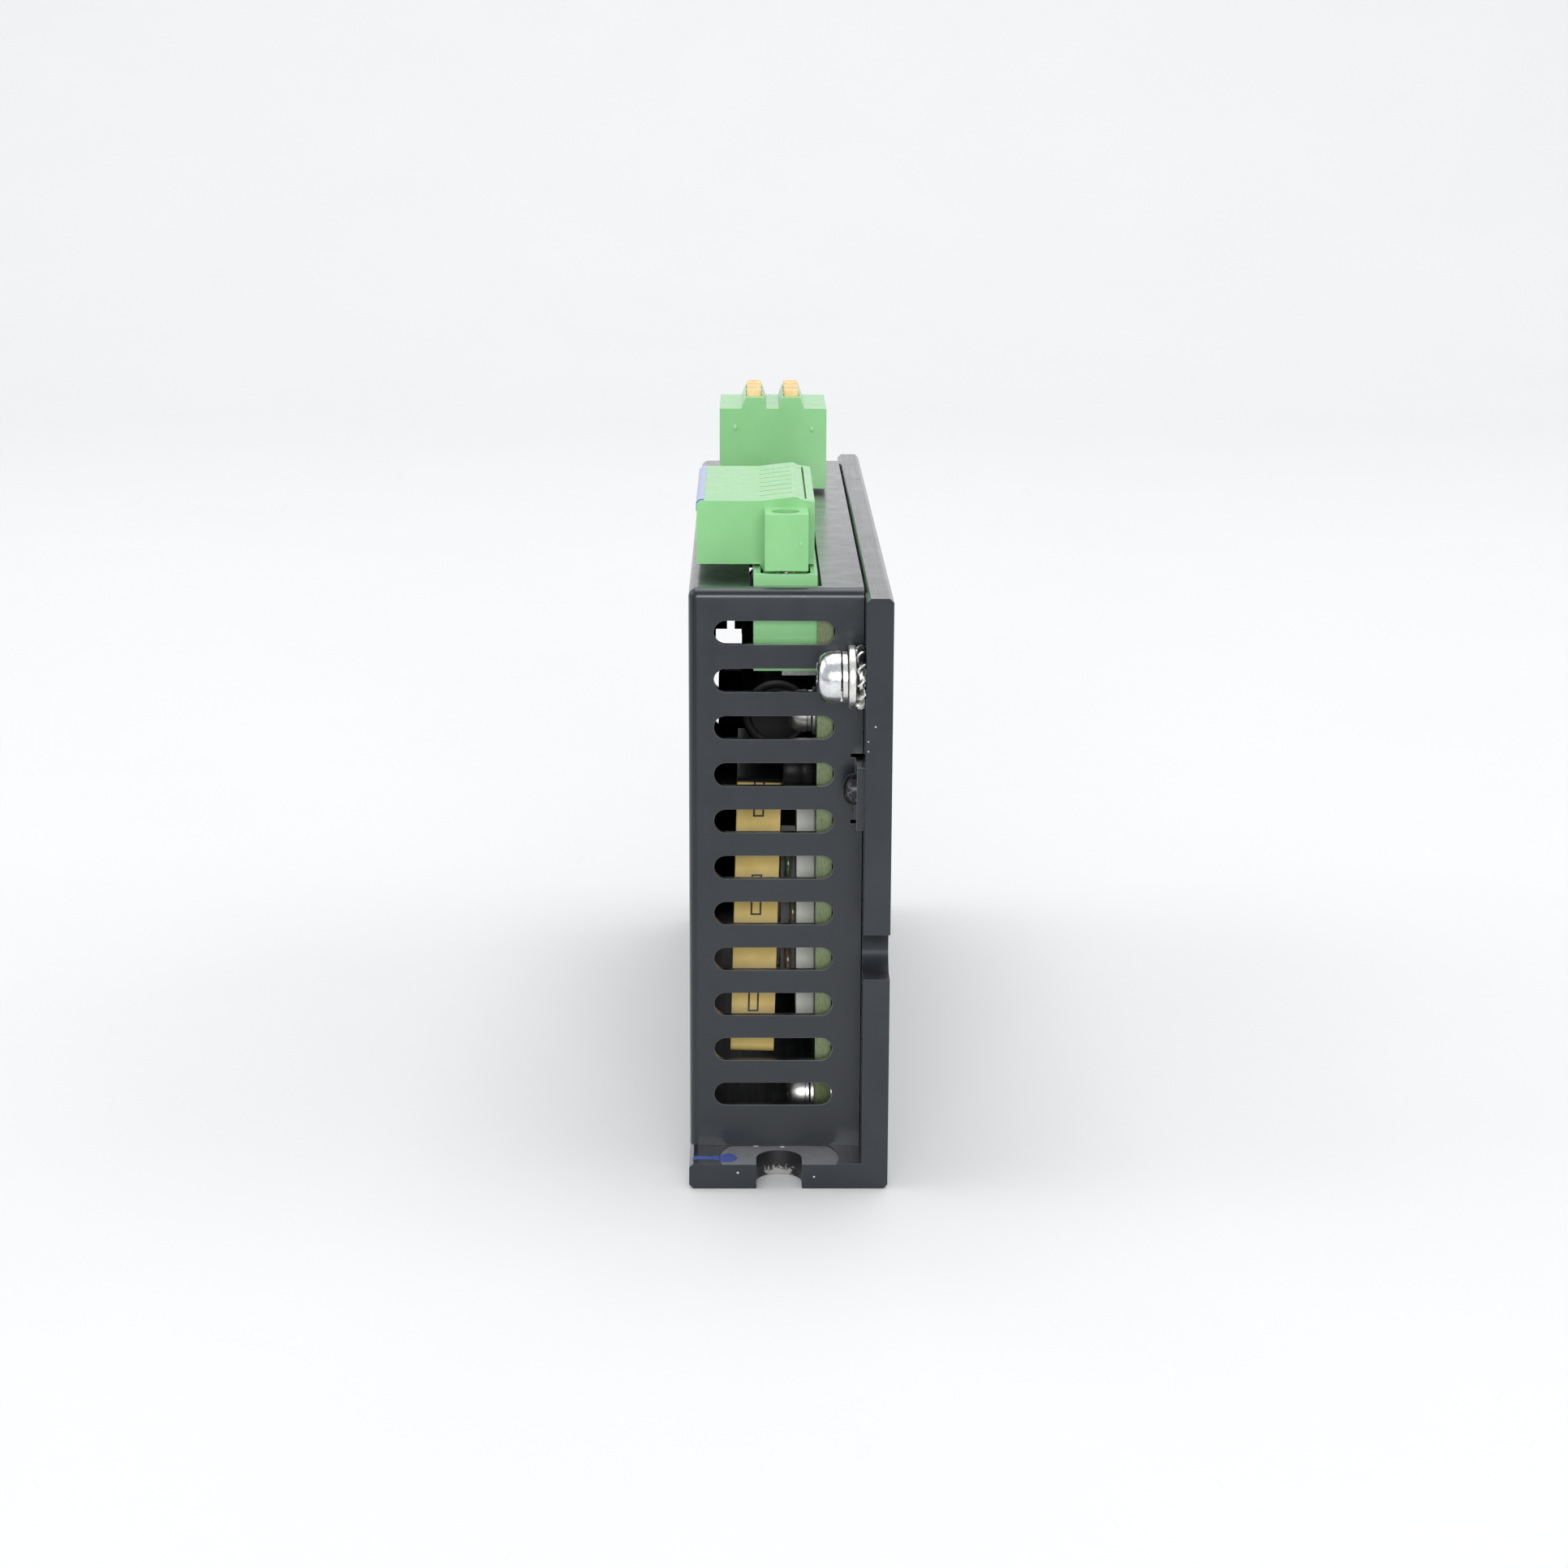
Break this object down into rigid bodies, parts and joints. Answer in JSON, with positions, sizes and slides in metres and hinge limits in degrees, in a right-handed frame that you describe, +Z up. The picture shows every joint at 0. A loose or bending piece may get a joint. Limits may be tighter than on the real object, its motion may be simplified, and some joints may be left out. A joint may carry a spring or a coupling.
{
  "type": "din rail power supply",
  "caption": "Slim vented power supply on a black L-shaped aluminium base, with green plug-in terminal blocks standing out of its top edge.",
  "frame": {"origin": "centre of the L-shaped base's underside, on the surface that it stands on", "axes": "+Z up, +Y along the extruded base, +X from the cover's long closed face to the upright mounting plate"},
  "size_m": [0.0252, 0.1308, 0.0908],
  "materials": {
    "black_anodised": "black anodised, satin, bare metal at the slot spot-faces",
    "black_paint": "satin black powder coat",
    "black_screw": "black oxide, semi-gloss",
    "zinc": "bright zinc plate",
    "nickel": "nickel plate",
    "tinned": "tin plate",
    "brass_nut": "turned brass",
    "green_plastic": "moulded polyamide, satin gloss",
    "orange_plastic": "moulded, satin gloss",
    "marker_film": "printed film, blank",
    "board": "glass-epoxy with green solder mask",
    "spacer": "turned brass spacer",
    "tape_yellow": "polyester winding tape",
    "ferrite": "sintered ferrite",
    "bobbin_white": "moulded coil former",
    "winding_dark": "varnished copper winding",
    "lead_brown": "insulated lead wire",
    "sleeve_black": "heat-shrink capacitor sleeve",
    "copper": "enamelled copper wire",
    "epoxy_black": "moulded epoxy package",
    "fuse_ceramic": "ceramic tube",
    "pad_grey": "silicone thermal pad"
  },
  "bodies": {
    "case": {"base_plate": "black_anodised", "cover": "black_paint", "cover_screws": "black_screw", "ground_star_washer": "zinc", "ground_flat_washer": "zinc", "ground_lock_washer": "zinc", "main_board": "board", "board_spacers": "spacer", "board_flat_washers": "nickel", "board_lock_washers": "nickel", "board_screws": "nickel", "front_header": "green_plastic", "front_header_pins": "tinned", "front_header_nuts": "brass_nut", "rear_header": "green_plastic", "rear_header_pins": "tinned", "transformer_tape": "tape_yellow", "transformer_core": "ferrite", "transformer_bobbin": "bobbin_white", "transformer_winding": "winding_dark", "transformer_leads": "lead_brown", "input_capacitors": "sleeve_black", "bias_capacitor": "sleeve_black", "output_capacitors": "sleeve_black", "choke_core": "ferrite", "choke_winding": "copper", "bridge_rectifier": "epoxy_black", "fuse": "fuse_ceramic", "fuse_clips": "tinned", "control_chips": "epoxy_black", "power_transistors": "epoxy_black", "thermal_pad": "pad_grey"},
    "front_plug": {"front_plug_body": "green_plastic", "front_plug_clamps": "nickel", "front_plug_clamp_screws": "nickel", "front_marker_strip": "marker_film"},
    "rear_plug": {"rear_plug_body": "green_plastic", "rear_plug_contacts": "tinned", "rear_plug_springs": "nickel"},
    "ground_screw": {"ground_screw": "zinc"},
    "front_flange_screw_near": {"front_flange_screw_near": "nickel"},
    "front_flange_screw_far": {"front_flange_screw_far": "nickel"},
    "release_lever_1": {"release_lever_1": "orange_plastic"},
    "release_lever_2": {"release_lever_2": "orange_plastic"},
    "release_lever_3": {"release_lever_3": "orange_plastic"},
    "release_lever_4": {"release_lever_4": "orange_plastic"},
    "release_lever_5": {"release_lever_5": "orange_plastic"},
    "release_lever_6": {"release_lever_6": "orange_plastic"}
  },
  "joints": [
    {"name": "front_plug_pull", "type": "slide", "parent": "case", "child": "front_plug", "axis": [0, 0, 1], "range_m": [0, 0.012]},
    {"name": "rear_plug_pull", "type": "slide", "parent": "case", "child": "rear_plug", "axis": [0, 0, 1], "range_m": [0, 0.012]},
    {"name": "flange_screw_near_turn", "type": "hinge", "parent": "front_plug", "child": "front_flange_screw_near", "pos_m": [-0.00052, -0.05255, 0.08], "axis": [0, 0, 1], "continuous": true},
    {"name": "flange_screw_far_turn", "type": "hinge", "parent": "front_plug", "child": "front_flange_screw_far", "pos_m": [-0.00052, -0.01605, 0.08], "axis": [0, 0, 1], "continuous": true},
    {"name": "ground_screw_turn", "type": "hinge", "parent": "case", "child": "ground_screw", "pos_m": [0.006, -0.0621, 0.0656], "axis": [1, 0, 0], "continuous": true},
    {"name": "release_lever_1_press", "type": "slide", "parent": "rear_plug", "child": "release_lever_1", "axis": [0, 0, -1], "range_m": [0, 0.0015], "stiffness_N_per_m": 600},
    {"name": "release_lever_2_press", "type": "slide", "parent": "rear_plug", "child": "release_lever_2", "axis": [0, 0, -1], "range_m": [0, 0.0015], "stiffness_N_per_m": 600},
    {"name": "release_lever_3_press", "type": "slide", "parent": "rear_plug", "child": "release_lever_3", "axis": [0, 0, -1], "range_m": [0, 0.0015], "stiffness_N_per_m": 600},
    {"name": "release_lever_4_press", "type": "slide", "parent": "rear_plug", "child": "release_lever_4", "axis": [0, 0, -1], "range_m": [0, 0.0015], "stiffness_N_per_m": 600},
    {"name": "release_lever_5_press", "type": "slide", "parent": "rear_plug", "child": "release_lever_5", "axis": [0, 0, -1], "range_m": [0, 0.0015], "stiffness_N_per_m": 600},
    {"name": "release_lever_6_press", "type": "slide", "parent": "rear_plug", "child": "release_lever_6", "axis": [0, 0, -1], "range_m": [0, 0.0015], "stiffness_N_per_m": 600}
  ]
}
